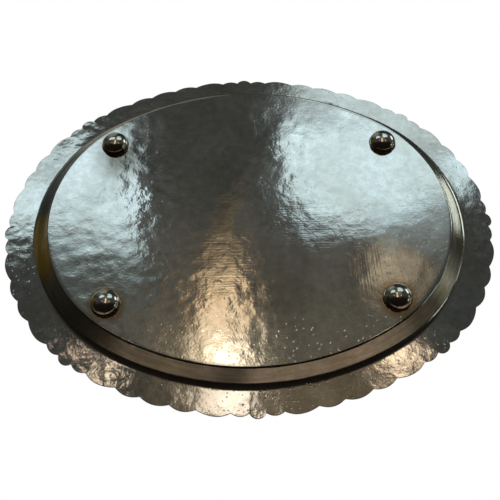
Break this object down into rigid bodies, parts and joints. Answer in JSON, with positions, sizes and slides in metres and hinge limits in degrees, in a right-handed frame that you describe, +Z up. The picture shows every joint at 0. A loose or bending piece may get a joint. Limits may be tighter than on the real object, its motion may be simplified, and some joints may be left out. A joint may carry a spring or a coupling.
{
  "type": "footed oval tray",
  "caption": "Oval hammered metal tray with a flat base, sloping wall, wide flange and scalloped beaded edge, standing on soldered dome feet.",
  "frame": {"origin": "on the table the tray stands on, under the middle of its outline", "axes": "+Z up, with the well open upwards and the feet down; +X along the length; +Y across the width"},
  "size_m": [0.3436, 0.275, 0.024],
  "materials": {
    "hammered_sheet": "silver plated, hand hammered and polished",
    "polished_foot": "silver plated, mirror polished",
    "solder": "as soldered, heat stained"
  },
  "bodies": {
    "root": {"tray_body": "hammered_sheet", "foot_front_left": "polished_foot", "foot_front_right": "polished_foot", "foot_rear_left": "polished_foot", "foot_rear_right": "polished_foot", "solder_front_left": "solder", "solder_front_right": "solder", "solder_rear_left": "solder", "solder_rear_right": "solder"}
  },
  "joints": []
}
